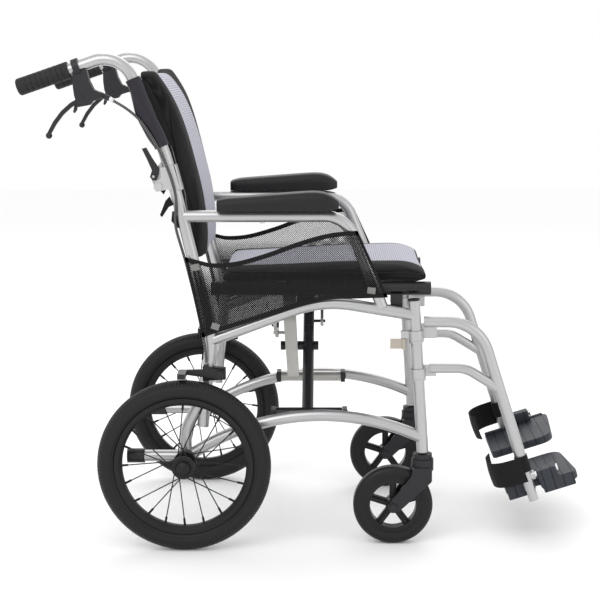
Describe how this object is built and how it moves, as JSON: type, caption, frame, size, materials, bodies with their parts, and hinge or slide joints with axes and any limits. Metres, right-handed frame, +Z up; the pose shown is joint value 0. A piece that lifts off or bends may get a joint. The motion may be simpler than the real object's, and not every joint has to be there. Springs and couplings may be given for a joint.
{
  "type": "transport wheelchair",
  "caption": "Folding transport wheelchair with small rear wheels, push grips with cable brakes, fold-down back, cross brace, padded arms and swing-away footrests.",
  "frame": {"origin": "on the floor under the middle of the chair's bounding box", "axes": "+X forward, the way the sitter faces; +Y to the sitter's left; +Z up"},
  "size_m": [1.061, 0.528, 0.9298],
  "materials": {
    "silver_paint": "fine silver metallic paint",
    "black_paint": "satin black powder coat",
    "black_plastic": "matt black plastic",
    "black_fabric": "woven nylon",
    "black_mesh": "open mesh",
    "black_foam": "foam and rubber",
    "tyre": "matt rubber",
    "caster_tyre": "matt rubber",
    "dark_alloy": "satin black",
    "silver_metal": "satin",
    "plate_plastic": "grooved, blue black",
    "tan_plastic": "satin"
  },
  "bodies": {
    "right_frame": {"right_rear_post": "silver_paint", "right_lower_arch": "silver_paint", "right_upper_arch": "silver_paint", "right_front_post": "silver_paint", "right_armrest_tube": "silver_paint", "right_armrest_pad": "black_foam", "right_side_panel": "black_mesh", "right_frame_fittings": "black_plastic", "right_brake_cable": "black_plastic", "back_upholstery": "black_fabric"},
    "left_frame": {"left_rear_post": "silver_paint", "left_lower_arch": "silver_paint", "left_upper_arch": "silver_paint", "left_front_post": "silver_paint", "left_armrest_tube": "silver_paint", "left_armrest_pad": "black_foam", "left_side_panel": "black_mesh", "left_frame_fittings": "black_plastic", "left_brake_cable": "black_plastic"},
    "cross_a": {"cross_a": "black_paint", "left_seat_rail": "black_paint", "seat_cushion": "black_fabric"},
    "cross_b": {"cross_b": "silver_metal", "right_seat_rail": "black_paint"},
    "right_upper_back": {"right_upper_cane": "silver_paint", "right_grip": "black_foam", "right_lever_housing": "black_plastic"},
    "right_fold_lever": {"right_fold_lever": "black_plastic"},
    "right_brake_lever": {"right_brake_lever": "black_plastic"},
    "right_lock_trigger": {"right_lock_trigger": "black_plastic"},
    "right_brake_arm": {"right_brake_arm": "black_paint"},
    "right_rear_wheel": {"right_wheel": "dark_alloy", "right_tyre": "tyre"},
    "right_caster_fork": {"right_fork": "black_plastic"},
    "right_caster": {"right_caster_wheel": "dark_alloy", "right_caster_tyre": "caster_tyre"},
    "right_hanger": {"right_hanger": "silver_paint", "right_heel_loop": "black_fabric", "right_footplate_pin": "silver_metal"},
    "right_release_lever": {"right_release_lever": "tan_plastic"},
    "right_footplate": {"right_footplate": "plate_plastic"},
    "right_side_link": {"right_side_link": "silver_metal"},
    "left_upper_back": {"left_upper_cane": "silver_paint", "left_grip": "black_foam", "left_lever_housing": "black_plastic"},
    "left_fold_lever": {"left_fold_lever": "black_plastic"},
    "left_brake_lever": {"left_brake_lever": "black_plastic"},
    "left_lock_trigger": {"left_lock_trigger": "black_plastic"},
    "left_brake_arm": {"left_brake_arm": "black_paint"},
    "left_rear_wheel": {"left_wheel": "dark_alloy", "left_tyre": "tyre"},
    "left_caster_fork": {"left_fork": "black_plastic"},
    "left_caster": {"left_caster_wheel": "dark_alloy", "left_caster_tyre": "caster_tyre"},
    "left_hanger": {"left_hanger": "silver_paint", "left_heel_loop": "black_fabric", "left_footplate_pin": "silver_metal"},
    "left_release_lever": {"left_release_lever": "tan_plastic"},
    "left_footplate": {"left_footplate": "plate_plastic"},
    "left_side_link": {"left_side_link": "silver_metal"}
  },
  "joints": [
    {"name": "fold", "type": "hinge", "parent": "right_frame", "child": "cross_a", "pos_m": [0.008, -0.165, 0.248], "axis": [1, 0, 0], "range_deg": [0, 39], "deforming": ["seat_cushion", "back_upholstery"]},
    {"name": "brace_scissor", "type": "hinge", "parent": "cross_a", "child": "cross_b", "pos_m": [-0.012, 0, 0.347], "axis": [1, 0, 0], "range_deg": [-78, 0]},
    {"name": "left_side", "type": "hinge", "parent": "cross_b", "child": "left_frame", "pos_m": [0.008, 0.165, 0.248], "axis": [1, 0, 0], "range_deg": [0, 39]},
    {"name": "right_back_fold", "type": "hinge", "parent": "right_frame", "child": "right_upper_back", "pos_m": [-0.2686, -0.19, 0.6865], "axis": [0, -1, 0], "range_deg": [0, 105], "deforming": ["right_brake_cable", "left_brake_cable", "back_upholstery"]},
    {"name": "right_fold_lever_tilt", "type": "hinge", "parent": "right_upper_back", "child": "right_fold_lever", "pos_m": [-0.278, -0.19, 0.705], "axis": [0, -1, 0], "range_deg": [0, 15], "stiffness_Nm_per_rad": 0.05},
    {"name": "right_brake_lever_squeeze", "type": "hinge", "parent": "right_upper_back", "child": "right_brake_lever", "pos_m": [-0.407, -0.19, 0.85], "axis": [0, 1, 0], "range_deg": [0, 25], "stiffness_Nm_per_rad": 0.6},
    {"name": "right_lock_trigger_press", "type": "hinge", "parent": "right_brake_lever", "child": "right_lock_trigger", "pos_m": [-0.418, -0.19, 0.84], "axis": [0, -1, 0], "range_deg": [0, 15], "stiffness_Nm_per_rad": 0.01},
    {"name": "right_brake_arm_press", "type": "hinge", "parent": "right_frame", "child": "right_brake_arm", "pos_m": [-0.159, -0.19, 0.333], "axis": [0, -1, 0], "range_deg": [0, 2.5], "stiffness_Nm_per_rad": 2, "springref_deg": -1.72},
    {"name": "right_rear_wheel_spin", "type": "hinge", "parent": "right_frame", "child": "right_rear_wheel", "pos_m": [-0.227, -0.235, 0.164], "axis": [0, 1, 0], "continuous": true},
    {"name": "right_caster_swivel", "type": "hinge", "parent": "right_frame", "child": "right_caster_fork", "pos_m": [0.224, -0.19, 0.147], "axis": [0, 0, 1], "continuous": true},
    {"name": "right_caster_spin", "type": "hinge", "parent": "right_caster_fork", "child": "right_caster", "pos_m": [0.168, -0.19, 0.076], "axis": [0, 1, 0], "continuous": true},
    {"name": "right_footrest_swing", "type": "hinge", "parent": "right_frame", "child": "right_hanger", "pos_m": [0.224, -0.19, 0.179], "axis": [0.0643, 0, -0.9979], "range_deg": [0, 90]},
    {"name": "right_release_lever_press", "type": "hinge", "parent": "right_hanger", "child": "right_release_lever", "pos_m": [0.187, -0.19, 0.39], "axis": [0, 0, -1], "range_deg": [0, 15], "stiffness_Nm_per_rad": 0.05},
    {"name": "right_footplate_flip", "type": "hinge", "parent": "right_hanger", "child": "right_footplate", "pos_m": [0.45368, -0.176, 0.135], "axis": [0.9521, 0, 0.3057], "range_deg": [0, 90]},
    {"name": "right_side_link_turn", "type": "hinge", "parent": "right_frame", "child": "right_side_link", "pos_m": [-0.056, -0.174, 0.425], "axis": [1, 0, 0], "range_deg": [0, 78]},
    {"name": "left_back_fold", "type": "hinge", "parent": "left_frame", "child": "left_upper_back", "pos_m": [-0.2686, 0.19, 0.6865], "axis": [0, -1, 0], "range_deg": [0, 105]},
    {"name": "left_fold_lever_tilt", "type": "hinge", "parent": "left_upper_back", "child": "left_fold_lever", "pos_m": [-0.278, 0.19, 0.705], "axis": [0, -1, 0], "range_deg": [0, 15], "stiffness_Nm_per_rad": 0.05},
    {"name": "left_brake_lever_squeeze", "type": "hinge", "parent": "left_upper_back", "child": "left_brake_lever", "pos_m": [-0.407, 0.19, 0.85], "axis": [0, 1, 0], "range_deg": [0, 25], "stiffness_Nm_per_rad": 0.6},
    {"name": "left_lock_trigger_press", "type": "hinge", "parent": "left_brake_lever", "child": "left_lock_trigger", "pos_m": [-0.418, 0.19, 0.84], "axis": [0, -1, 0], "range_deg": [0, 15], "stiffness_Nm_per_rad": 0.01},
    {"name": "left_brake_arm_press", "type": "hinge", "parent": "left_frame", "child": "left_brake_arm", "pos_m": [-0.159, 0.19, 0.333], "axis": [0, -1, 0], "range_deg": [0, 2.5], "stiffness_Nm_per_rad": 2, "springref_deg": -1.72},
    {"name": "left_rear_wheel_spin", "type": "hinge", "parent": "left_frame", "child": "left_rear_wheel", "pos_m": [-0.227, 0.235, 0.164], "axis": [0, 1, 0], "continuous": true},
    {"name": "left_caster_swivel", "type": "hinge", "parent": "left_frame", "child": "left_caster_fork", "pos_m": [0.224, 0.19, 0.147], "axis": [0, 0, 1], "continuous": true},
    {"name": "left_caster_spin", "type": "hinge", "parent": "left_caster_fork", "child": "left_caster", "pos_m": [0.168, 0.19, 0.076], "axis": [0, 1, 0], "continuous": true},
    {"name": "left_footrest_swing", "type": "hinge", "parent": "left_frame", "child": "left_hanger", "pos_m": [0.224, 0.19, 0.179], "axis": [-0.0643, 0, 0.9979], "range_deg": [0, 90]},
    {"name": "left_release_lever_press", "type": "hinge", "parent": "left_hanger", "child": "left_release_lever", "pos_m": [0.187, 0.19, 0.39], "axis": [0, 0, 1], "range_deg": [0, 15], "stiffness_Nm_per_rad": 0.05},
    {"name": "left_footplate_flip", "type": "hinge", "parent": "left_hanger", "child": "left_footplate", "pos_m": [0.44665, 0.176, 0.1569], "axis": [-0.9521, 0, -0.3057], "range_deg": [0, 90]},
    {"name": "left_side_link_turn", "type": "hinge", "parent": "left_frame", "child": "left_side_link", "pos_m": [0.032, 0.174, 0.425], "axis": [-1, 0, 0], "range_deg": [0, 78]}
  ],
  "couplings": [
    {"joint": "brace_scissor", "follows": "fold", "ratio": -2},
    {"joint": "left_side", "follows": "fold", "ratio": 1},
    {"joint": "right_footplate_flip", "follows": "fold", "ratio": 2.3077},
    {"joint": "right_side_link_turn", "follows": "fold", "ratio": 1.98},
    {"joint": "left_footplate_flip", "follows": "fold", "ratio": 2.3077},
    {"joint": "left_side_link_turn", "follows": "fold", "ratio": 1.98},
    {"joint": "left_back_fold", "follows": "right_back_fold", "ratio": 1}
  ]
}
